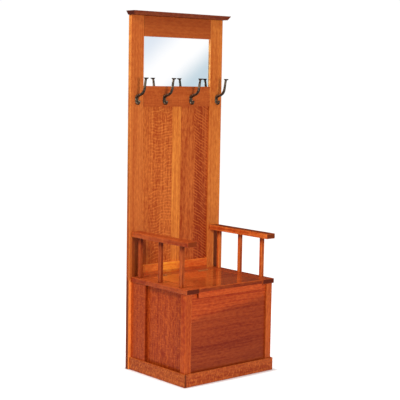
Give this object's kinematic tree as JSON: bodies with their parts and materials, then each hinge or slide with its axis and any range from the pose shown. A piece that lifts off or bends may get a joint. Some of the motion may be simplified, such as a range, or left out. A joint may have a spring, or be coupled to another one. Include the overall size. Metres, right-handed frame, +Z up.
{
  "type": "hall tree with hooks",
  "caption": "Tall framed oak hall tree with a mirror, coat hooks and a cornice over a lift-lid storage seat with flat arms on square spindles.",
  "frame": {"origin": "on the floor, under the middle of the whole piece's width and depth", "axes": "+Z up, -Y towards the front of the seat, +X to the right of someone facing the piece"},
  "size_m": [0.6428, 0.4728, 1.8286],
  "materials": {
    "oak": "stained quartersawn oak under semi-gloss lacquer",
    "red_oak": "darker stained oak under semi-gloss lacquer",
    "pale_oak": "paler stained oak under semi-gloss lacquer",
    "dark_oak": "dark stained oak under semi-gloss lacquer",
    "plywood": "clear-sealed plywood",
    "backboard": "plain hardboard",
    "mirror": "silvered glass",
    "bronze": "dark antique bronze on a casting",
    "hinge_steel": "antique plated steel"
  },
  "bodies": {
    "frame": {"back_left_stile": "oak", "back_right_stile": "oak", "back_top_rail": "red_oak", "hook_rail": "red_oak", "back_seat_rail": "pale_oak", "back_floor_rail": "oak", "back_panel_left_board": "oak", "back_panel_pale_board": "pale_oak", "back_panel_right_board": "oak", "lower_back_panel": "plywood", "mirror_glass": "mirror", "mirror_backboard": "backboard", "cornice_board": "dark_oak", "front_left_post": "oak", "front_right_post": "oak", "side_left_rear_stile": "oak", "side_right_rear_stile": "oak", "side_left_panel": "oak", "side_right_panel": "oak", "front_panel": "red_oak", "front_inner_rail": "oak", "hinge_rail_cleat": "oak", "chest_floor": "plywood", "floor_left_cleat": "plywood", "floor_right_cleat": "plywood", "skirt_front": "oak", "skirt_left": "oak", "skirt_right": "oak", "seat_left_rail": "oak", "seat_right_rail": "oak", "seat_hinge_rail": "oak", "arm_left": "oak", "arm_right": "oak", "spindle_left_back": "oak", "spindle_left_middle": "oak", "spindle_left_front": "oak", "spindle_right_back": "oak", "spindle_right_middle": "oak", "spindle_right_front": "oak", "hook_1": "bronze", "hook_2": "bronze", "hook_3": "bronze", "hook_4": "bronze", "hook_1_upper_screw": "bronze", "hook_1_lower_screw": "bronze", "hook_2_upper_screw": "bronze", "hook_2_lower_screw": "bronze", "hook_3_upper_screw": "bronze", "hook_3_lower_screw": "bronze", "hook_4_upper_screw": "bronze", "hook_4_lower_screw": "bronze", "hinge_left_fixed_leaf": "hinge_steel", "hinge_left_pin": "hinge_steel", "hinge_right_fixed_leaf": "hinge_steel", "hinge_right_pin": "hinge_steel"},
    "lid": {"seat_lid": "red_oak", "lid_lip": "red_oak", "hinge_left_moving_leaf": "hinge_steel", "hinge_right_moving_leaf": "hinge_steel"}
  },
  "joints": [
    {"name": "lid_hinge", "type": "hinge", "parent": "frame", "child": "lid", "pos_m": [0, 0.15006, 0.4836], "axis": [-1, 0, 0], "range_deg": [0, 100]}
  ]
}
